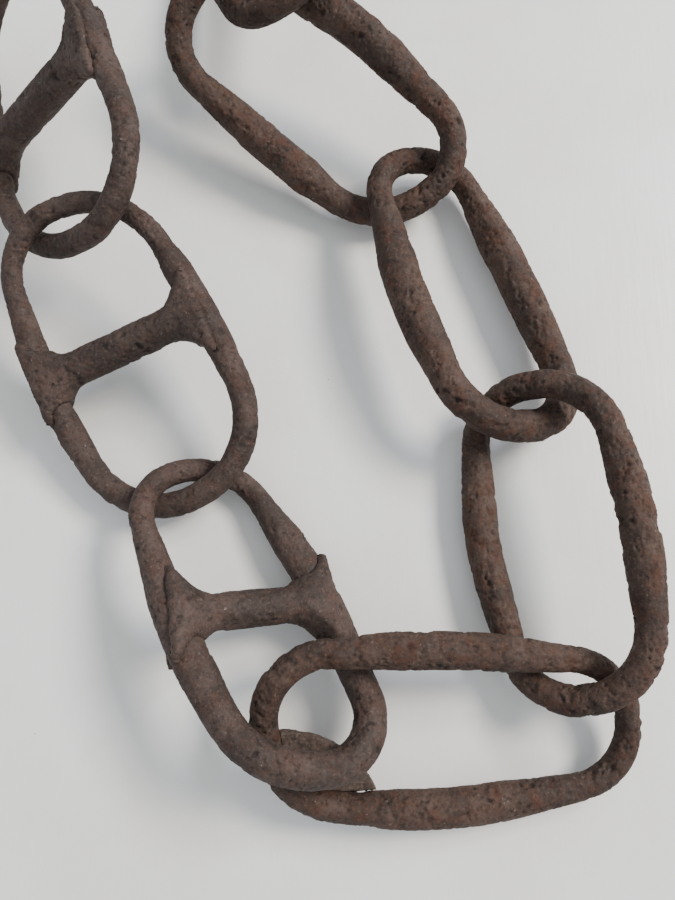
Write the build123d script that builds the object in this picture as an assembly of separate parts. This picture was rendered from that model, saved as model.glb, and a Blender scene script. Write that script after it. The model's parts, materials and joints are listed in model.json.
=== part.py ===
from build123d import *

import math
import os
from dataclasses import dataclass

# An old hand-forged anchor chain, laid in a U on a flat board: three stud links, then five long links.
# Millimetres, +Z up, the board is z = 0, and +Y runs up the two arms of the U.

# ---------------------------------------------------------------- sizes shared by the whole chain
LINK_LENGTH = 162.0          # from crown to crown along a link, bar centre to bar centre
LONG_LINK_WIDTH = 76.0       # across the legs of a long link, bar centre to bar centre
STUD_LINK_WIDTH = 88.0       # across the legs of a stud link at its stud
CROWN_WIDTH = 64.0           # across a link where the legs turn into the crown
LONG_BAR = 19.0              # bar diameter in the legs of a long link
STUD_BAR = 15.6              # bar diameter in the legs of a stud link
WORN_LONG_BAR = 15.2         # bar diameter in the crown of a long link, worn by its neighbour
WORN_STUD_BAR = 13.2         # bar diameter in the crown of a stud link
CROWN_FILL = 0.47            # share of a crown's edge that each of its two bends takes
SIDE_FILL = 0.30             # share of a leg that the gentle bend in its middle takes

STUD_WAIST = 18.5            # diameter of a cast stud in the middle
STUD_PALM = 46.0             # diameter of a stud's flared end
STUD_FLARE = 26.0            # length over which the stud flares
FLARE_HOLLOW_ALONG = 0.45    # where the flare's curve is hollowest, as a share of its length
FLARE_HOLLOW_HEIGHT = 0.2    # and how far that stands above the waist, as a share of the flare's height
PALM_LIP = 1.4               # how far a palm stands above the bar that it hugs

TONGUE_THICKNESS = 4.5       # the split scarf end of the corner link's weld
TONGUE_DROP = 4.0            # how far the tongue's middle lies below the middle of the bar
TONGUE_REACH = 13.0          # how far the tongue stands in from the line between its two ends
TONGUE_ALONG_LEG = 0.75      # share of the leg's straight that the tongue runs along

CLEARANCE = 1.5              # left between two links where one lies on the other
CURVE_STEPS = 8              # points along each bend and each straight when two links are compared
SETTLING_ROUNDS = 8          # rounds of rolling and lifting a link until it clears its neighbour
ALL_BUT_PARALLEL = 1e-9      # two runs whose cross product is smaller than this never cross
SAME_BAR = 1e-6              # bar diameters closer than this are joined by a cylinder, not a cone
SURFACE_TOLERANCE = 0.05     # for finding the box that the origin is set from


@dataclass
class Link:
    """One link in its own plane: +x along it from its near end to its far end, +y to its left."""
    name: str
    has_stud: bool
    longer: float = 0.0          # this link's length less LINK_LENGTH
    middle_wider: float = 0.0    # its width at the middle less that of its kind
    near_wider: float = 0.0      # its near crown's width less CROWN_WIDTH
    far_wider: float = 0.0
    near_shift: float = 0.0      # how far the crowns stand to the left of the middle
    far_shift: float = 0.0
    near_skew: float = 0.0       # how far a crown's right corner stands out beyond its left one, halved
    far_skew: float = 0.0
    near_thicker: float = 0.0    # bar diameters less those of its kind
    leg_thicker: float = 0.0
    far_thicker: float = 0.0
    stud_left: float = 0.0       # where the stud's ends meet the legs, along the link
    stud_right: float = 0.0

    def bar(self, place):
        """Bar diameter at "near", "leg" or "far"."""
        if place == "leg":
            return (STUD_BAR if self.has_stud else LONG_BAR) + self.leg_thicker
        thicker = self.near_thicker if place == "near" else self.far_thicker
        return (WORN_STUD_BAR if self.has_stud else WORN_LONG_BAR) + thicker

    def end(self, place):
        """The middle of a crown in the link's plane."""
        half = (LINK_LENGTH + self.longer) / 2
        return Vector(-half, self.near_shift) if place == "near" else Vector(half, self.far_shift)

    def corners(self):
        """The six corners of the link's centre line, anticlockwise, each with its bar diameter."""
        near, far = self.end("near"), self.end("far")
        near_half = (CROWN_WIDTH + self.near_wider) / 2
        far_half = (CROWN_WIDTH + self.far_wider) / 2
        side = ((STUD_LINK_WIDTH if self.has_stud else LONG_LINK_WIDTH) + self.middle_wider) / 2
        return [
            (near + Vector(-self.near_skew, -near_half), self.bar("near")),
            (Vector(0, -side), self.bar("leg")),
            (far + Vector(self.far_skew, -far_half), self.bar("far")),
            (far + Vector(-self.far_skew, far_half), self.bar("far")),
            (Vector(0, side), self.bar("leg")),
            (near + Vector(self.near_skew, near_half), self.bar("near")),
        ]


@dataclass
class Hook:
    """How a link's near end hangs in the end of its parent link."""
    child: str
    parent: str
    parent_end: str
    heading: float           # degrees anticlockwise from +X, seen from above
    rise: float              # slope along the heading
    play: float              # gap between the insides of the two crowns, along the parent
    aside: float             # how far the child's crown stands to the left of the parent's
    over: str                # the side on which the child lies over its parent
    turns_in: str            # "parent" or "child": whose crown the hinge is the axis of
    least_turn: float        # degrees, about the upward normal of that link
    most_turn: float
    right_slack: float = 0.0  # extra height between the two bars on the child's right


CORNER_LINK = "long_link_1"
END_LINKS = ("stud_link_1", "long_link_5")
CORNER_HEADING = 0.5
CORNER_RISE = -0.08
CORNER_ROLL = 0.27

LINKS = [
    Link(
        "stud_link_1",
        has_stud=True,
        longer=7,
        middle_wider=18,
        near_wider=51.5,
        far_wider=2.5,
        near_shift=-9,
        far_shift=-1,
        near_skew=9.5,
        near_thicker=0.2,
        leg_thicker=-1,
        far_thicker=-0.2,
        stud_left=2,
    ),
    Link(
        "stud_link_2",
        has_stud=True,
        longer=3.5,
        middle_wider=9,
        near_wider=24.5,
        far_wider=10.5,
        near_shift=-2.5,
        far_shift=-4.5,
        near_skew=-1.5,
        far_skew=-8,
        near_thicker=0.4,
        leg_thicker=-0.2,
        far_thicker=-1.8,
        stud_left=8,
        stud_right=-1,
    ),
    Link(
        "stud_link_3",
        has_stud=True,
        longer=-0.5,
        middle_wider=-13.5,
        near_wider=-1.5,
        far_wider=-9,
        far_shift=2,
        near_skew=11.5,
        far_skew=-3.5,
        near_thicker=3.4,
        leg_thicker=2.8,
        far_thicker=-0.6,
        stud_left=12,
        stud_right=-12,
    ),
    Link(
        "long_link_1",
        has_stud=False,
        longer=14,
        middle_wider=3,
        near_wider=7.5,
        far_wider=-7,
        near_shift=1.5,
        far_shift=2.5,
        near_skew=-4,
        far_skew=2,
        near_thicker=-1,
        leg_thicker=-1,
        far_thicker=-2.4,
    ),
    Link(
        "long_link_2",
        has_stud=False,
        longer=-7,
        middle_wider=3,
        near_wider=-3.5,
        near_shift=-3,
        far_shift=-1,
        near_skew=-4.5,
        far_skew=-3.5,
        near_thicker=-0.2,
        leg_thicker=-0.6,
        far_thicker=-0.2,
    ),
    Link(
        "long_link_3",
        has_stud=False,
        longer=7,
        middle_wider=-5.5,
        near_wider=1,
        far_wider=-11.5,
        near_shift=-0.5,
        far_shift=-5.5,
        near_skew=7,
        far_skew=-2,
        near_thicker=2.2,
        leg_thicker=2.2,
        far_thicker=-0.6,
    ),
    Link(
        "long_link_4",
        has_stud=False,
        longer=6,
        middle_wider=2,
        near_wider=4,
        far_wider=-4.5,
        near_shift=7.5,
        far_shift=1.5,
        near_skew=11.5,
        far_skew=-0.5,
        near_thicker=0.4,
        leg_thicker=1.6,
        far_thicker=0.2,
    ),
    Link(
        "long_link_5",
        has_stud=False,
        longer=2.5,
        near_wider=-8.5,
        far_wider=2,
        near_shift=-11.5,
        far_shift=0.5,
        near_skew=2,
        near_thicker=0.4,
        leg_thicker=-0.6,
        far_thicker=0.2,
    ),
]

HOOKS = [
    Hook(
        child="stud_link_3",
        parent="long_link_1",
        parent_end="near",
        heading=118,
        rise=-0.14,
        play=14,
        aside=-15,
        over="left",
        turns_in="child",
        least_turn=-3,
        most_turn=30,
        right_slack=1.5,
    ),
    Hook(
        child="stud_link_2",
        parent="stud_link_3",
        parent_end="far",
        heading=118,
        rise=0.18,
        play=2.5,
        aside=-4,
        over="right",
        turns_in="child",
        least_turn=-15,
        most_turn=30,
    ),
    Hook(
        child="stud_link_1",
        parent="stud_link_2",
        parent_end="far",
        heading=106,
        rise=0.04,
        play=9.5,
        aside=-5.5,
        over="right",
        turns_in="parent",
        least_turn=-30,
        most_turn=10,
    ),
    Hook(
        child="long_link_2",
        parent="long_link_1",
        parent_end="far",
        heading=96.5,
        rise=0.01,
        play=8,
        aside=12,
        over="right",
        turns_in="child",
        least_turn=-30,
        most_turn=30,
    ),
    Hook(
        child="long_link_3",
        parent="long_link_2",
        parent_end="far",
        heading=111,
        rise=-0.04,
        play=4,
        aside=3.5,
        over="left",
        turns_in="parent",
        least_turn=-30,
        most_turn=20,
        right_slack=4.5,
    ),
    Hook(
        child="long_link_4",
        parent="long_link_3",
        parent_end="far",
        heading=146,
        rise=0.19,
        play=8,
        aside=-0.5,
        over="right",
        turns_in="parent",
        least_turn=-30,
        most_turn=8,
    ),
    Hook(
        child="long_link_5",
        parent="long_link_4",
        parent_end="far",
        heading=97,
        rise=-0.25,
        play=40,
        aside=-18,
        over="right",
        turns_in="child",
        least_turn=-15,
        most_turn=25,
    ),
]


# ---------------------------------------------------------------- the centre line of a link
@dataclass
class Bend:
    """A corner of the centre line rounded to an arc, in the link's plane."""
    start: Vector
    finish: Vector
    centre: Vector
    angle: float        # degrees turned, anticlockwise
    bar: float


def bends(link):
    """The six bends of a link: two in each crown and a gentle one in the middle of each leg."""
    corners = link.corners()
    count = len(corners)
    edges = [(corners[(i + 1) % count][0] - corners[i][0]) for i in range(count)]
    result = []
    for i, (corner, bar) in enumerate(corners):
        before, after = edges[i - 1], edges[i]
        crown_edge = after if i in (2, 5) else before
        if i in (1, 4):
            run = SIDE_FILL * min(before.length, after.length)
        else:
            run = CROWN_FILL * crown_edge.length
        start = corner - before.normalized() * run
        finish = corner + after.normalized() * run
        angle = before.get_signed_angle(after, Vector(0, 0, 1))
        radius = run / math.tan(math.radians(angle / 2))
        inward = before.normalized().rotate(Axis.Z, 90)
        result.append(Bend(start, finish, start + inward * radius, angle, bar))
    return result


def centre_line(link):
    """Points round the link with the bar's radius at each."""
    points = []
    arcs = bends(link)
    for arc, following in zip(arcs, arcs[1:] + arcs[:1]):
        for step in range(CURVE_STEPS):
            turn = arc.angle * step / CURVE_STEPS
            points.append((arc.centre + (arc.start - arc.centre).rotate(Axis.Z, turn), arc.bar / 2))
        for step in range(CURVE_STEPS):
            share = step / CURVE_STEPS
            place = arc.finish + (following.start - arc.finish) * share
            points.append((place, (arc.bar + (following.bar - arc.bar) * share) / 2))
    return points


# ---------------------------------------------------------------- how the links lie on each other
@dataclass
class Pose:
    """Where a link lies: its centre, its heading, and its slopes along and to the left of the heading."""
    link: Link
    centre: Vector
    heading: float
    rise: float
    roll: float

    def forward(self):
        return Vector(1, 0).rotate(Axis.Z, self.heading)

    def left(self):
        return Vector(0, 1).rotate(Axis.Z, self.heading)

    def plane(self):
        along = self.forward() + Vector(0, 0, self.rise)
        across = self.left() + Vector(0, 0, self.roll)
        return Plane(origin=self.centre, x_dir=along, z_dir=along.cross(across))

    def curve(self):
        plane = self.plane()
        return [(plane.from_local_coords(point), radius) for point, radius in centre_line(self.link)]


def crossings(lower_curve, upper_curve):
    """Where two centre lines cross in plan: both points and the height that their bars need there."""
    found = []
    for (a, a_radius), (a_next, _) in zip(lower_curve, lower_curve[1:] + lower_curve[:1]):
        for (b, b_radius), (b_next, _) in zip(upper_curve, upper_curve[1:] + upper_curve[:1]):
            a_run, b_run, gap = a_next - a, b_next - b, b - a
            turn = a_run.X * b_run.Y - a_run.Y * b_run.X
            if abs(turn) < ALL_BUT_PARALLEL:
                continue
            a_share = (gap.X * b_run.Y - gap.Y * b_run.X) / turn
            b_share = (gap.X * a_run.Y - gap.Y * a_run.X) / turn
            if 0 <= a_share < 1 and 0 <= b_share < 1:
                steepness = abs(a_run.cross(b_run).normalized().Z)
                height = (a_radius + b_radius + CLEARANCE) / steepness
                found.append((a + a_run * a_share, b + b_run * b_share, height))
    return found


def hang(hook, link, parent):
    """Roll and lift a link until both of its crossings with its parent clear by CLEARANCE."""
    outward = parent.forward() if hook.parent_end == "far" else -parent.forward()
    parent_apex = parent.plane().from_local_coords(parent.link.end(hook.parent_end))
    inset = hook.play + (link.bar("near") + parent.link.bar(hook.parent_end)) / 2
    apex = parent_apex - outward * inset + parent.left() * hook.aside
    pose = Pose(link, apex, hook.heading, hook.rise, 0)
    parent_curve = parent.curve()
    over = 1 if hook.over == "left" else -1
    for _ in range(SETTLING_ROUNDS):
        drift = apex - pose.plane().from_local_coords(link.end("near"))
        pose.centre += Vector(drift.X, drift.Y, 0)
        forward, left = pose.forward(), pose.left()
        met = crossings(parent_curve, pose.curve())
        met.sort(key=lambda crossing: (crossing[1] - pose.centre).dot(left))
        right_point, left_point = met[0], met[-1]
        heights = []
        sides = []
        left_side = (left_point, over, 0)
        right_side = (right_point, -over, hook.right_slack)
        for (below, above, height), sign, slack in (left_side, right_side):
            offset = above - pose.centre
            sides.append(offset.dot(left))
            wanted = below.Z + sign * (height + slack)
            heights.append(wanted - hook.rise * offset.dot(forward))
        pose.roll = (heights[0] - heights[1]) / (sides[0] - sides[1])
        pose.centre = Vector(pose.centre.X, pose.centre.Y, heights[0] - pose.roll * sides[0])
    return pose


def lay_chain():
    """Every link's pose: the corner link first, then each link hung on the one before it."""
    links = {link.name: link for link in LINKS}
    poses = {CORNER_LINK: Pose(links[CORNER_LINK], Vector(0, 0, 0), CORNER_HEADING, CORNER_RISE, CORNER_ROLL)}
    for hook in HOOKS:
        poses[hook.child] = hang(hook, links[hook.child], poses[hook.parent])
    return poses


# ---------------------------------------------------------------- solids, each in its link's own plane
def link_bar(link):
    """The forged bar, bent to a closed loop: tori in the bends, cones where its thickness changes."""
    pieces = []
    arcs = bends(link)
    for arc, following in zip(arcs, arcs[1:] + arcs[:1]):
        outward = (arc.start - arc.centre).normalized()
        section = Plane(origin=arc.start, x_dir=outward, z_dir=outward.rotate(Axis.Z, 90))
        disc = section * Circle(arc.bar / 2)
        pieces.append(revolve(disc, Axis(arc.centre, (0, 0, 1)), arc.angle))
        run = following.start - arc.finish
        foot = Plane(origin=arc.finish, z_dir=run)
        if abs(arc.bar - following.bar) < SAME_BAR:
            pieces.append(Solid.make_cylinder(arc.bar / 2, run.length, foot))
        else:
            pieces.append(Solid.make_cone(arc.bar / 2, following.bar / 2, run.length, foot))
    bar = pieces[0]
    for piece in pieces[1:]:
        bar += piece
    return bar


def stud(link, bar):
    """A cast stud: a round waist flaring to a palm at each leg, cupped to fit the bar."""
    half_width = (STUD_LINK_WIDTH + link.middle_wider) / 2
    right_end = Vector(link.stud_right, -half_width)
    left_end = Vector(link.stud_left, half_width)
    length = (left_end - right_end).length
    waist, palm = STUD_WAIST / 2, STUD_PALM / 2
    hollow = waist + (palm - waist) * FLARE_HOLLOW_HEIGHT
    hollow_at = STUD_FLARE * FLARE_HOLLOW_ALONG
    near_flare = ThreePointArc((0, palm), (hollow_at, hollow), (STUD_FLARE, waist))
    middle = Line((STUD_FLARE, waist), (length - STUD_FLARE, waist))
    far_flare = ThreePointArc(
        (length - STUD_FLARE, waist), (length - hollow_at, hollow), (length, palm)
    )
    axis_side = Polyline((length, palm), (length, 0), (0, 0), (0, palm))
    profile = make_face([near_flare, middle, far_flare, *axis_side.edges()])
    spool = revolve(profile, Axis.X)
    spool = Plane(origin=right_end, x_dir=left_end - right_end, z_dir=(0, 0, 1)) * spool
    slab = Box(2 * STUD_PALM, 2 * length, link.bar("leg") + 2 * PALM_LIP)
    return (spool & slab) - bar


def weld_tongue(link, bar):
    """The scarf end of the forge weld, drawn out thin and split from the inside of the bar."""
    arc, leg_bend = bends(link)[:2]
    leg_point = arc.finish + (leg_bend.start - arc.finish) * TONGUE_ALONG_LEG
    chord = leg_point - arc.start
    bulge = arc.start + chord / 2 + chord.normalized().rotate(Axis.Z, 90) * TONGUE_REACH
    corner = arc.centre + (arc.start - arc.centre).rotate(Axis.Z, arc.angle / 2)
    outline = make_face(
        [
            ThreePointArc(arc.start, bulge, leg_point),
            Line(leg_point, arc.finish),
            ThreePointArc(arc.finish, corner, arc.start),
        ]
    )
    leaf = extrude(outline, TONGUE_THICKNESS / 2, both=True)
    return Location((0, 0, -TONGUE_DROP)) * leaf - bar


def build():
    """All the solids, the links' poses, and the move that puts the origin under the middle of the chain."""
    poses = lay_chain()
    nodes = {}
    for name, pose in poses.items():
        place = pose.plane()
        bar = link_bar(pose.link)
        nodes[name + "_bar"] = place * bar
        if pose.link.has_stud:
            nodes[name + "_stud"] = place * stud(pose.link, bar)
        if name == CORNER_LINK:
            nodes["weld_tongue"] = place * weld_tongue(pose.link, bar)
    surface = [point for solid in nodes.values() for point in solid.tessellate(SURFACE_TOLERANCE)[0]]
    middle_x = (min(point.X for point in surface) + max(point.X for point in surface)) / 2
    middle_y = (min(point.Y for point in surface) + max(point.Y for point in surface)) / 2
    to_origin = Location((-middle_x, -middle_y, -min(point.Z for point in surface)))
    return {name: to_origin * solid for name, solid in nodes.items()}, poses, to_origin.position


def crown_centre(link, place):
    """The point that a crown bends round, in the link's plane."""
    arcs = bends(link)
    first, second = (arcs[0], arcs[5]) if place == "near" else (arcs[2], arcs[3])
    return (first.centre + second.centre) / 2


def print_layout(poses, shift):
    """Each hinge's place, axis and range, and the two ends of the chain, in the finished frame."""
    for hook in HOOKS:
        turned = poses[hook.child] if hook.turns_in == "child" else poses[hook.parent]
        place = "near" if hook.turns_in == "child" else hook.parent_end
        plane = turned.plane()
        pivot = plane.from_local_coords(crown_centre(turned.link, place)) + shift
        axis = plane.z_dir
        print(
            f"hinge {hook.child} parent {hook.parent} at {pivot.X:.2f} {pivot.Y:.2f} {pivot.Z:.2f}"
            f" axis {axis.X:.4f} {axis.Y:.4f} {axis.Z:.4f} range {hook.least_turn} {hook.most_turn}"
        )
    for name in END_LINKS:
        plane = poses[name].plane()
        eye = plane.from_local_coords(crown_centre(poses[name].link, "far")) + shift
        print(f"end {name} eye {eye.X:.2f} {eye.Y:.2f} {eye.Z:.2f} axis {plane.z_dir}")


os.makedirs("parts", exist_ok=True)
solids, laid, moved = build()
for node, solid in solids.items():
    export_step(solid, f"parts/{node}.step")
print_layout(laid, moved)
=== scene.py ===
"""A length of old forged anchor chain lying in a U on a white painted board.

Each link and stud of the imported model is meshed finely, then worn, dented and pitted by one
geometry node tree, and painted with procedural rust. The file is laid out as an add-on.
"""

import json
import math

import bmesh
import bpy
from bpy.props import FloatProperty, FloatVectorProperty, PointerProperty
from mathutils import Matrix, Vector


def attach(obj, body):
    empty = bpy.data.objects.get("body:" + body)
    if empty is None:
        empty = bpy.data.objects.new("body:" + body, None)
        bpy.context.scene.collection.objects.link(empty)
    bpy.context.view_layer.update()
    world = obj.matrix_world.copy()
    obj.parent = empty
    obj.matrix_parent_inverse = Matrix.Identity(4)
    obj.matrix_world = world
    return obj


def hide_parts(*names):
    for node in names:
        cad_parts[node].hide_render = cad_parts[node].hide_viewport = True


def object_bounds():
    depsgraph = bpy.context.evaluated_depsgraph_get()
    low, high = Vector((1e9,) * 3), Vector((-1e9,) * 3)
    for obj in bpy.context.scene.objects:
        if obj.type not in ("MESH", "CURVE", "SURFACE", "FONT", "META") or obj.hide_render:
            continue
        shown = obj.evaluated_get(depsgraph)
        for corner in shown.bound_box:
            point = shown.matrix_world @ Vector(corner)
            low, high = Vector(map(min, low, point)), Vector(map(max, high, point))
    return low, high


bl_info = {
    "name": "Forged anchor chain",
    "version": (1, 0, 0),
    "blender": (4, 5, 0),
    "location": "3D View > Sidebar > Anchor chain",
    "description": "Builds the looks of a rusted length of forged anchor chain",
    "category": "Object",
}

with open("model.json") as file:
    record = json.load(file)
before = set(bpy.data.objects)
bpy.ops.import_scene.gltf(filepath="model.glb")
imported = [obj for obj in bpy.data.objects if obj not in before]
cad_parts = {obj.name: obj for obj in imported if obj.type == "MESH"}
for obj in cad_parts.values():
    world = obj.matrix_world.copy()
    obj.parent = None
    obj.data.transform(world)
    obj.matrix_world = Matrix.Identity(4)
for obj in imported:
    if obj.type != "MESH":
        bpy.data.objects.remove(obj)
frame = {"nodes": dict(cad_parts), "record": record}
START_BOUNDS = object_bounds()

MM = 0.001
FINE_VOXEL = 0.72 * MM
MERGE_DISTANCE = 0.005 * MM

GRUBBY_PAINT = (0.81, 0.81, 0.785)
BRUSHED_PAINT = (0.78, 0.78, 0.76)
RUST_CRUMBS = (0.33, 0.24, 0.18)
BOARD_HALF_WIDTH = 3.0

SKY_COLOUR = (0.93, 0.96, 1.0)
LAMP_TARGET = (0, 0, 0.02)
WINDOW_LAMP = {"place": (1.9, 0.7, 2.0), "size": 0.80, "power": 92.0, "colour": (1.0, 0.91, 0.80)}
SKY_LAMP = {"place": (2.2, 1.9, 2.5), "size": 0.55, "power": 52.0, "colour": (0.82, 0.87, 1.0)}

LONG_BARS = [node for node in frame["nodes"] if node.startswith("long_link")]
STUD_BARS = [node for node in frame["nodes"] if node.startswith("stud_link") and node.endswith("_bar")]
STUDS = [node for node in frame["nodes"] if node.endswith("_stud")]
TONGUE = "weld_tongue"


# ---------------------------------------------------------------- settings
class ChainForging(bpy.types.PropertyGroup):
    """How far the surface of the iron departs from the plain forged shape."""

    waviness: FloatProperty(
        name="Waviness",
        description="How far hammering moved the surface in and out",
        default=1.2 * MM,
        unit="LENGTH",
    )
    dent_depth: FloatProperty(
        name="Dents",
        description="Depth of the broad dents between lumps of scale",
        default=0.9 * MM,
        unit="LENGTH",
    )
    pit_depth: FloatProperty(
        name="Pits",
        description="Depth of the deepest rust pits",
        default=1.5 * MM,
        unit="LENGTH",
    )
    grain_depth: FloatProperty(
        name="Grain",
        description="Height of the fine rust grain",
        default=0.5 * MM,
        unit="LENGTH",
    )
    stud_swell: FloatProperty(
        name="Stud swell",
        description="How far a stud swells where it meets its bar",
        default=2.6 * MM,
        unit="LENGTH",
    )
    swell_reach: FloatProperty(
        name="Swell reach",
        description="How far from the bar a stud begins to swell",
        default=11 * MM,
        unit="LENGTH",
    )


class ChainColours(bpy.types.PropertyGroup):
    """Colours of the rust."""

    long_rust: FloatVectorProperty(
        name="Long link rust",
        description="Main colour of the plain long links",
        subtype="COLOR",
        default=(0.049, 0.029, 0.021),
    )
    stud_rust: FloatVectorProperty(
        name="Stud link rust",
        description="Main colour of the stud links",
        subtype="COLOR",
        default=(0.049, 0.032, 0.026),
    )
    tongue_rust: FloatVectorProperty(
        name="Tongue rust",
        description="Main colour of the split weld tongue",
        subtype="COLOR",
        default=(0.085, 0.062, 0.050),
    )
    pit_colour: FloatVectorProperty(
        name="Pits",
        description="Colour at the bottom of the pits",
        subtype="COLOR",
        default=(0.013, 0.008, 0.007),
    )
    dust: FloatVectorProperty(
        name="Dust",
        description="Colour of the pale dust and worn flecks",
        subtype="COLOR",
        default=(0.30, 0.235, 0.205),
    )
    board: FloatVectorProperty(
        name="Board",
        description="Colour of the painted board",
        subtype="COLOR",
        default=(0.86, 0.87, 0.86),
    )


class ChainStage(bpy.types.PropertyGroup):
    """Camera and light."""

    camera_place: FloatVectorProperty(
        name="Camera place",
        description="Where the camera stands, over the corner of the U",
        default=(0.03047, -0.18029, 0.3748),
        subtype="TRANSLATION",
    )
    camera_tilt: FloatProperty(
        name="Camera tilt",
        description="How far the camera leans back from looking straight down",
        default=math.radians(12),
        subtype="ANGLE",
    )
    lens: FloatProperty(
        name="Lens",
        description="Focal length of the camera in millimetres",
        default=36.8,
        unit="CAMERA",
    )
    sky_strength: FloatProperty(
        name="Sky strength",
        description="Strength of the soft light from all round",
        default=0.86,
        min=0.0,
    )


# ---------------------------------------------------------------- node helpers
def link(tree, from_socket, to_socket):
    """Join an output to an input."""
    tree.links.new(from_socket, to_socket)


def math_node(tree, operation, first, second=None, clamp=False):
    """A math node. Each value is a number or a socket."""
    node = tree.nodes.new("ShaderNodeMath")
    node.operation = operation
    node.use_clamp = clamp
    for index, value in enumerate((first, second)):
        if value is None:
            continue
        if isinstance(value, (int, float)):
            node.inputs[index].default_value = value
        else:
            link(tree, value, node.inputs[index])
    return node.outputs[0]


def ramp_value(tree, value, low, high, low_out=0.0, high_out=1.0):
    """A smooth step from low to high."""
    node = tree.nodes.new("ShaderNodeMapRange")
    node.interpolation_type = "SMOOTHSTEP"
    link(tree, value, node.inputs["Value"])
    node.inputs["From Min"].default_value = low
    node.inputs["From Max"].default_value = high
    node.inputs["To Min"].default_value = low_out
    node.inputs["To Max"].default_value = high_out
    return node.outputs["Result"]


def noise(tree, vector, size, detail=3.0, roughness=0.55, shift=0.0):
    """Noise whose lumps are about the given size in metres."""
    node = tree.nodes.new("ShaderNodeTexNoise")
    node.noise_dimensions = "4D"
    node.inputs["W"].default_value = shift
    node.inputs["Scale"].default_value = 1.0 / size
    node.inputs["Detail"].default_value = detail
    node.inputs["Roughness"].default_value = roughness
    link(tree, vector, node.inputs["Vector"])
    return node.outputs["Fac"]


def cells(tree, vector, size, shift=0.0):
    """Voronoi cells of the given size in metres: distance from each centre and a random colour."""
    node = tree.nodes.new("ShaderNodeTexVoronoi")
    node.voronoi_dimensions = "4D"
    node.inputs["W"].default_value = shift
    node.inputs["Scale"].default_value = 1.0 / size
    link(tree, vector, node.inputs["Vector"])
    return node.outputs["Distance"], node.outputs["Color"]


def mix_colour(tree, share, first, second):
    """Mix two colours, each a triple or a socket."""
    node = tree.nodes.new("ShaderNodeMix")
    node.data_type = "RGBA"
    link(tree, share, node.inputs["Factor"])
    for socket, value in ((node.inputs["A"], first), (node.inputs["B"], second)):
        if isinstance(value, bpy.types.NodeSocket):
            link(tree, value, socket)
        else:
            socket.default_value = (*value, 1.0)
    return node.outputs["Result"]


def stored(tree, name):
    """An attribute that the forging tree stored on the mesh."""
    node = tree.nodes.new("ShaderNodeAttribute")
    node.attribute_name = name
    return node.outputs["Fac"]


def object_place(tree):
    """Where a point lies in the row's frame."""
    return tree.nodes.new("ShaderNodeTexCoord").outputs["Object"]


def roughen(tree, shader, height, strength, distance):
    """Add fine relief to a shader."""
    bump = tree.nodes.new("ShaderNodeBump")
    bump.inputs["Strength"].default_value = strength
    bump.inputs["Distance"].default_value = distance
    link(tree, height, bump.inputs["Height"])
    link(tree, bump.outputs["Normal"], shader.inputs["Normal"])


def principled(name):
    """A new material, its tree and its shader."""
    material = bpy.data.materials.new(name)
    material.use_nodes = True
    tree = material.node_tree
    return material, tree, tree.nodes["Principled BSDF"]


# ---------------------------------------------------------------- materials
def shade(colour, factor):
    """A colour made darker or lighter."""
    return tuple(channel * factor for channel in colour)


def rust_material(name, rust, redness, dustiness):
    """Dry pitted rust: dark pits, redder patches, brown scale and pale dust on the crests."""
    colours = bpy.context.scene.chain_colours
    material, tree, shader = principled(name)
    place = object_place(tree)
    broad = noise(tree, place, 28 * MM, detail=4)
    patch = noise(tree, place, 7 * MM, detail=6, roughness=0.7, shift=3)
    grain = noise(tree, place, 1.3 * MM, detail=4, roughness=0.75, shift=6)
    speck = noise(tree, place, 2.4 * MM, detail=5, roughness=0.85, shift=9)
    blotch = noise(tree, place, 3.6 * MM, detail=5, roughness=0.75, shift=12)

    base = mix_colour(tree, ramp_value(tree, broad, 0.40, 0.60), shade(rust, 0.70), shade(rust, 1.35))
    red = (rust[0] * 1.45, rust[1] * 0.98, rust[2] * 0.80)
    reds = math_node(tree, "MULTIPLY", ramp_value(tree, patch, 0.46, 0.66), redness)
    base = mix_colour(tree, reds, base, red)
    dark_blotch = math_node(tree, "MULTIPLY", ramp_value(tree, blotch, 0.50, 0.36), 0.75)
    base = mix_colour(tree, dark_blotch, base, shade(rust, 0.38))
    light_grain = math_node(tree, "MULTIPLY", ramp_value(tree, grain, 0.52, 0.70), 0.6)
    base = mix_colour(tree, light_grain, base, shade(rust, 2.5))
    dark_grain = math_node(tree, "MULTIPLY", ramp_value(tree, grain, 0.48, 0.32), 0.7)
    base = mix_colour(tree, dark_grain, base, shade(rust, 0.30))
    flecks = math_node(tree, "MULTIPLY", ramp_value(tree, speck, 0.60, 0.70), stored(tree, "crest"))
    dusty = math_node(tree, "MULTIPLY", flecks, dustiness, clamp=True)
    base = mix_colour(tree, dusty, base, tuple(colours.dust))
    deep = ramp_value(tree, stored(tree, "pit"), 0.10, 0.80, 0.0, 0.85)
    base = mix_colour(tree, deep, base, tuple(colours.pit_colour))
    link(tree, base, shader.inputs["Base Color"])

    rough = ramp_value(tree, patch, 0.3, 0.7, 0.62, 0.88)
    link(tree, rough, shader.inputs["Roughness"])
    shader.inputs["Specular IOR Level"].default_value = 0.38
    relief = math_node(tree, "ADD", grain, math_node(tree, "MULTIPLY", speck, 0.8))
    roughen(tree, shader, relief, strength=0.75, distance=0.45 * MM)
    return material


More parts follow.
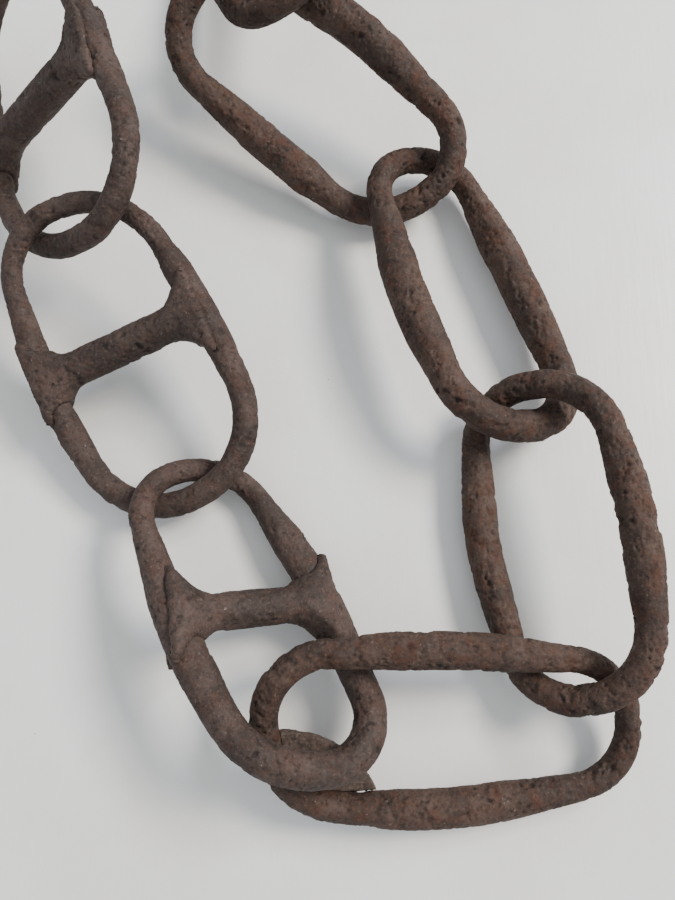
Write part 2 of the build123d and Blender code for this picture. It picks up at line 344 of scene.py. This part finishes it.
def board_material():
    """White gloss paint on board, with faint brushing, grubby patches and rust dust."""
    colours = bpy.context.scene.chain_colours
    material, tree, shader = principled("board_paint")
    place = object_place(tree)
    cloud = noise(tree, place, 90 * MM, detail=4)
    base = mix_colour(tree, ramp_value(tree, cloud, 0.38, 0.66), tuple(colours.board), GRUBBY_PAINT)
    stretch = tree.nodes.new("ShaderNodeMapping")
    stretch.inputs["Scale"].default_value = (1.0, 0.12, 1.0)
    link(tree, place, stretch.inputs["Vector"])
    brush = noise(tree, stretch.outputs["Vector"], 4 * MM, detail=4, shift=2)
    base = mix_colour(tree, ramp_value(tree, brush, 0.60, 0.80, 0.0, 0.25), base, BRUSHED_PAINT)
    crumbs = noise(tree, place, 2.2 * MM, detail=3, roughness=0.6, shift=5)
    near = ramp_value(tree, noise(tree, place, 45 * MM, detail=2, shift=8), 0.5, 0.68)
    dirty = math_node(tree, "MULTIPLY", ramp_value(tree, crumbs, 0.70, 0.76), near)
    base = mix_colour(tree, dirty, base, RUST_CRUMBS)
    link(tree, base, shader.inputs["Base Color"])
    shader.inputs["Roughness"].default_value = 0.36
    relief = math_node(tree, "ADD", cloud, brush)
    roughen(tree, shader, relief, strength=0.25, distance=0.5 * MM)
    return material


# ---------------------------------------------------------------- the two geometry node trees
def scattered_pits(tree, place, size, share, shift):
    """Ragged pits in a share of the cells: up to 1 at the bottom of a pit, and 0 outside."""
    wobble = tree.nodes.new("ShaderNodeVectorMath")
    wobble.operation = "MULTIPLY_ADD"
    rough = tree.nodes.new("ShaderNodeTexNoise")
    rough.inputs["Scale"].default_value = 1.3 / size
    rough.inputs["Detail"].default_value = 4
    link(tree, place, rough.inputs["Vector"])
    link(tree, rough.outputs["Color"], wobble.inputs[0])
    wobble.inputs[1].default_value = (size * 1.6,) * 3
    link(tree, place, wobble.inputs[2])
    distance, colour = cells(tree, wobble.outputs["Vector"], size, shift)
    split = tree.nodes.new("ShaderNodeSeparateXYZ")
    link(tree, colour, split.inputs[0])
    chosen = math_node(tree, "LESS_THAN", split.outputs["X"], share)
    depth = math_node(tree, "MULTIPLY_ADD", split.outputs["Y"], 0.6)
    depth.node.inputs[2].default_value = 0.4
    bowl = ramp_value(tree, distance, 0.62, 0.20)
    return math_node(tree, "MULTIPLY", math_node(tree, "MULTIPLY", bowl, chosen), depth)


def add_sockets(tree, kinds):
    """Give a tree its geometry, its named inputs and a material. Returns the inputs and the output node."""
    face = tree.interface
    face.new_socket("Geometry", in_out="INPUT", socket_type="NodeSocketGeometry")
    for name, kind in kinds.items():
        face.new_socket(name, in_out="INPUT", socket_type=kind)
    face.new_socket("Material", in_out="INPUT", socket_type="NodeSocketMaterial")
    face.new_socket("Geometry", in_out="OUTPUT", socket_type="NodeSocketGeometry")
    return tree.nodes.new("NodeGroupInput").outputs, tree.nodes.new("NodeGroupOutput")


def forging_tree():
    """Moves each point of a smooth bar in or out along its normal, and stores how deep it was pitted."""
    tree = bpy.data.node_groups.new("forge_iron", "GeometryNodeTree")
    numbers = dict.fromkeys(("Waviness", "Dents", "Pits", "Grain", "Seed"), "NodeSocketFloat")
    given, outlet = add_sockets(tree, numbers)

    offset = tree.nodes.new("ShaderNodeCombineXYZ")
    link(tree, given["Seed"], offset.inputs["X"])
    moved = tree.nodes.new("ShaderNodeVectorMath")
    link(tree, tree.nodes.new("GeometryNodeInputPosition").outputs[0], moved.inputs[0])
    link(tree, offset.outputs[0], moved.inputs[1])
    place = moved.outputs["Vector"]

    wave = math_node(tree, "SUBTRACT", noise(tree, place, 24 * MM, detail=2), 0.52)
    dents = ramp_value(tree, noise(tree, place, 7.5 * MM, detail=3, roughness=0.6, shift=4), 0.52, 0.34)
    grain = math_node(tree, "SUBTRACT", noise(tree, place, 2.2 * MM, detail=4, roughness=0.7, shift=7), 0.5)
    zone = ramp_value(tree, noise(tree, place, 22 * MM, detail=2, shift=11), 0.40, 0.60, 0.25, 1.0)
    large = scattered_pits(tree, place, 4.2 * MM, 0.42, 1)
    small = math_node(tree, "MULTIPLY", scattered_pits(tree, place, 2.3 * MM, 0.6, 2), 0.7)
    pits = math_node(tree, "MULTIPLY", math_node(tree, "MAXIMUM", large, small), zone)

    move = math_node(tree, "MULTIPLY", wave, given["Waviness"])
    for part, depth in ((dents, "Dents"), (pits, "Pits")):
        move = math_node(tree, "SUBTRACT", move, math_node(tree, "MULTIPLY", part, given[depth]))
    move = math_node(tree, "ADD", move, math_node(tree, "MULTIPLY", grain, given["Grain"]))

    pitted = store_attribute(tree, given["Geometry"], "pit", pits)
    high = math_node(tree, "SUBTRACT", 1.0, dents, clamp=True)
    crested = store_attribute(tree, pitted, "crest", high)
    shifted = move_outwards(tree, crested, move)
    finish_tree(tree, shifted, given["Material"], outlet)
    return tree


def store_attribute(tree, geometry, name, value):
    """Store a number on every point of the geometry."""
    node = tree.nodes.new("GeometryNodeStoreNamedAttribute")
    node.data_type = "FLOAT"
    node.domain = "POINT"
    node.inputs["Name"].default_value = name
    link(tree, geometry, node.inputs["Geometry"])
    link(tree, value, node.inputs["Value"])
    return node.outputs["Geometry"]


def socket_id(tree, name):
    """The identifier of a tree's input."""
    for item in tree.interface.items_tree:
        if item.item_type == "SOCKET" and item.in_out == "INPUT" and item.name == name:
            return item.identifier
    raise RuntimeError(f"the tree {tree.name} has no input called {name}")


def swelling_tree():
    """Swells a piece towards the bar that it joins, so that the two flow together."""
    tree = bpy.data.node_groups.new("swell_to_bar", "GeometryNodeTree")
    kinds = {"Bar": "NodeSocketObject", "Swell": "NodeSocketFloat", "Reach": "NodeSocketFloat"}
    given, outlet = add_sockets(tree, kinds)
    bar = tree.nodes.new("GeometryNodeObjectInfo")
    bar.transform_space = "RELATIVE"
    link(tree, given["Bar"], bar.inputs["Object"])
    near = tree.nodes.new("GeometryNodeProximity")
    near.target_element = "FACES"
    link(tree, bar.outputs["Geometry"], near.inputs[0])
    away = math_node(tree, "DIVIDE", near.outputs["Distance"], given["Reach"], clamp=True)
    left = math_node(tree, "SUBTRACT", 1.0, away)
    amount = math_node(tree, "MULTIPLY", math_node(tree, "MULTIPLY", left, left), given["Swell"])
    shifted = move_outwards(tree, given["Geometry"], amount)
    finish_tree(tree, shifted, given["Material"], outlet)
    return tree


def move_outwards(tree, geometry, amount):
    """Move every point along its normal."""
    along = tree.nodes.new("ShaderNodeVectorMath")
    along.operation = "SCALE"
    link(tree, tree.nodes.new("GeometryNodeInputNormal").outputs[0], along.inputs[0])
    link(tree, amount, along.inputs["Scale"])
    shifted = tree.nodes.new("GeometryNodeSetPosition")
    link(tree, geometry, shifted.inputs["Geometry"])
    link(tree, along.outputs["Vector"], shifted.inputs["Offset"])
    return shifted.outputs["Geometry"]


def finish_tree(tree, geometry, material, outlet):
    """Realize what a tree made and give it its material."""
    real = tree.nodes.new("GeometryNodeRealizeInstances")
    link(tree, geometry, real.inputs["Geometry"])
    painted = tree.nodes.new("GeometryNodeSetMaterial")
    link(tree, real.outputs["Geometry"], painted.inputs["Geometry"])
    link(tree, material, painted.inputs["Material"])
    link(tree, painted.outputs["Geometry"], outlet.inputs[0])


# ---------------------------------------------------------------- pieces
def fine_copy(node, name):
    """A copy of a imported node, merged and meshed again in small even faces."""
    mesh = frame["nodes"][node].data.copy()
    mesh.name = name
    mesh.materials.clear()
    shape = bmesh.new()
    shape.from_mesh(mesh)
    bmesh.ops.remove_doubles(shape, verts=shape.verts, dist=MERGE_DISTANCE)
    bmesh.ops.recalc_face_normals(shape, faces=shape.faces)
    shape.to_mesh(mesh)
    shape.free()
    piece = bpy.data.objects.new(name, mesh)
    bpy.context.scene.collection.objects.link(piece)
    remesh = piece.modifiers.new("fine", "REMESH")
    remesh.mode = "VOXEL"
    remesh.voxel_size = FINE_VOXEL
    return piece


def bake(piece):
    """Replace a piece's mesh by what its modifiers make of it."""
    graph = bpy.context.evaluated_depsgraph_get()
    graph.update()
    mesh = bpy.data.meshes.new_from_object(piece.evaluated_get(graph), depsgraph=graph)
    mesh.name = piece.name
    piece.modifiers.clear()
    piece.data = mesh
    for polygon in mesh.polygons:
        polygon.use_smooth = True


def set_inputs(modifier, values):
    """Set the named inputs of a modifier's tree."""
    for name, value in values.items():
        modifier[socket_id(modifier.node_group, name)] = value


def forge(node, material, seed, softness=1.0, joined_bar=None):
    """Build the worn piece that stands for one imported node, and let it ride on that node's body."""
    settings = bpy.context.scene.chain_forging
    piece = fine_copy(node, "worn_" + node)
    if joined_bar:
        swell = piece.modifiers.new("swell", "NODES")
        swell.node_group = bpy.data.node_groups.get("swell_to_bar") or swelling_tree()
        bar = frame["nodes"][joined_bar]
        sizes = {"Swell": settings.stud_swell, "Reach": settings.swell_reach}
        set_inputs(swell, {"Bar": bar, "Material": material, **sizes})
    wear = piece.modifiers.new("forge", "NODES")
    wear.node_group = bpy.data.node_groups.get("forge_iron") or forging_tree()
    values = {
        "Waviness": settings.waviness * softness,
        "Dents": settings.dent_depth * softness,
        "Pits": settings.pit_depth * softness,
        "Grain": settings.grain_depth,
        "Seed": seed,
        "Material": material,
    }
    set_inputs(wear, values)
    bake(piece)
    body = next(name for name, nodes in frame["record"]["behaviour"]["bodies"].items() if node in nodes)
    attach(piece, body)
    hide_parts(node)
    return piece


class CHAIN_OT_long_links(bpy.types.Operator):
    """Forge the five plain long links"""

    bl_idname = "chain.long_links"
    bl_label = "Long links"

    def execute(self, context):
        rust = tuple(context.scene.chain_colours.long_rust)
        material = rust_material("long_link_rust", rust, redness=0.75, dustiness=0.9)
        for number, node in enumerate(LONG_BARS):
            forge(node, material, seed=0.37 * number)
        return {"FINISHED"}


class CHAIN_OT_stud_links(bpy.types.Operator):
    """Forge the three bars that carry studs"""

    bl_idname = "chain.stud_links"
    bl_label = "Stud link bars"

    def execute(self, context):
        rust = tuple(context.scene.chain_colours.stud_rust)
        material = rust_material("stud_link_rust", rust, redness=0.45, dustiness=0.8)
        for number, node in enumerate(STUD_BARS):
            forge(node, material, seed=3.1 + 0.41 * number, softness=0.7)
        return {"FINISHED"}


class CHAIN_OT_studs(bpy.types.Operator):
    """Cast the three studs"""

    bl_idname = "chain.studs"
    bl_label = "Studs"

    def execute(self, context):
        rust = tuple(context.scene.chain_colours.stud_rust)
        material = rust_material("stud_rust", rust, redness=0.35, dustiness=0.9)
        for number, node in enumerate(STUDS):
            bar = node.removesuffix("_stud") + "_bar"
            forge(node, material, seed=7.3 + 0.29 * number, softness=0.75, joined_bar=bar)
        return {"FINISHED"}


class CHAIN_OT_weld_tongue(bpy.types.Operator):
    """Forge the thin split tongue at the corner link's weld"""

    bl_idname = "chain.weld_tongue"
    bl_label = "Weld tongue"

    def execute(self, context):
        rust = tuple(context.scene.chain_colours.tongue_rust)
        material = rust_material("tongue_rust", rust, redness=0.2, dustiness=0.7)
        forge(TONGUE, material, seed=9.6, softness=0.5)
        return {"FINISHED"}


# ---------------------------------------------------------------- stage
def add_board():
    """The painted board that the chain lies on."""
    low, high = START_BOUNDS
    half = BOARD_HALF_WIDTH
    centre = (Vector(low) + Vector(high)) / 2
    corners = [(-half, -half), (half, -half), (half, half), (-half, half)]
    mesh = bpy.data.meshes.new("board")
    mesh.from_pydata([(centre.x + x, centre.y + y, low[2]) for x, y in corners], [], [(0, 1, 2, 3)])
    mesh.materials.append(board_material())
    board = bpy.data.objects.new("board", mesh)
    bpy.context.scene.collection.objects.link(board)


def add_lamp(name, place, size, power, colour):
    """A soft square lamp aimed at the chain."""
    lamp = bpy.data.lights.new(name, "AREA")
    lamp.size = size
    lamp.energy = power
    lamp.color = colour
    holder = bpy.data.objects.new(name, lamp)
    holder.location = place
    holder.rotation_euler = (Vector(LAMP_TARGET) - Vector(place)).to_track_quat("-Z", "Y").to_euler()
    bpy.context.scene.collection.objects.link(holder)


def add_camera(settings):
    """The camera looks down on the corner of the U, leaning back a little."""
    camera = bpy.data.cameras.new("camera")
    camera.sensor_fit = "HORIZONTAL"
    camera.sensor_width = 36
    camera.lens = settings.lens
    camera.clip_start = 0.01
    holder = bpy.data.objects.new("camera", camera)
    holder.location = settings.camera_place
    holder.rotation_euler = (settings.camera_tilt, 0, 0)
    bpy.context.scene.collection.objects.link(holder)
    bpy.context.scene.camera = holder


class CHAIN_OT_stage(bpy.types.Operator):
    """Lay the board and set the light and the camera"""

    bl_idname = "chain.stage"
    bl_label = "Stage"

    def execute(self, context):
        settings = context.scene.chain_stage
        add_board()
        add_lamp("window_lamp", **WINDOW_LAMP)
        add_lamp("sky_lamp", **SKY_LAMP)
        world = bpy.data.worlds.new("soft_sky")
        world.use_nodes = True
        background = world.node_tree.nodes["Background"]
        background.inputs["Color"].default_value = (*SKY_COLOUR, 1.0)
        background.inputs["Strength"].default_value = settings.sky_strength
        context.scene.world = world
        add_camera(settings)
        return {"FINISHED"}


# ---------------------------------------------------------------- panel and registration
class CHAIN_PT_panel(bpy.types.Panel):
    """Buttons that build each group of pieces"""

    bl_idname = "CHAIN_PT_panel"
    bl_label = "Anchor chain"
    bl_space_type = "VIEW_3D"
    bl_region_type = "UI"
    bl_category = "Anchor chain"

    def draw(self, context):
        scene = context.scene
        for group in (scene.chain_forging, scene.chain_colours, scene.chain_stage):
            for name in group.__annotations__:
                self.layout.prop(group, name)
        for operator in OPERATORS:
            self.layout.operator(operator.bl_idname)


GROUPS = {"chain_forging": ChainForging, "chain_colours": ChainColours, "chain_stage": ChainStage}
OPERATORS = (
    CHAIN_OT_long_links,
    CHAIN_OT_stud_links,
    CHAIN_OT_studs,
    CHAIN_OT_weld_tongue,
    CHAIN_OT_stage,
)


def register():
    """Register the settings, the operators and the panel."""
    for name, group in GROUPS.items():
        bpy.utils.register_class(group)
        setattr(bpy.types.Scene, name, PointerProperty(type=group))
    for operator in OPERATORS:
        bpy.utils.register_class(operator)
    bpy.utils.register_class(CHAIN_PT_panel)


def unregister():
    """Undo register, in reverse."""
    bpy.utils.unregister_class(CHAIN_PT_panel)
    for operator in reversed(OPERATORS):
        bpy.utils.unregister_class(operator)
    for name, group in reversed(GROUPS.items()):
        delattr(bpy.types.Scene, name)
        bpy.utils.unregister_class(group)


def main():
    """Build the pieces and the stage in order."""
    register()
    bpy.ops.chain.long_links()
    bpy.ops.chain.stud_links()
    bpy.ops.chain.studs()
    bpy.ops.chain.weld_tongue()
    bpy.ops.chain.stage()


if __name__ == "__main__":
    main()
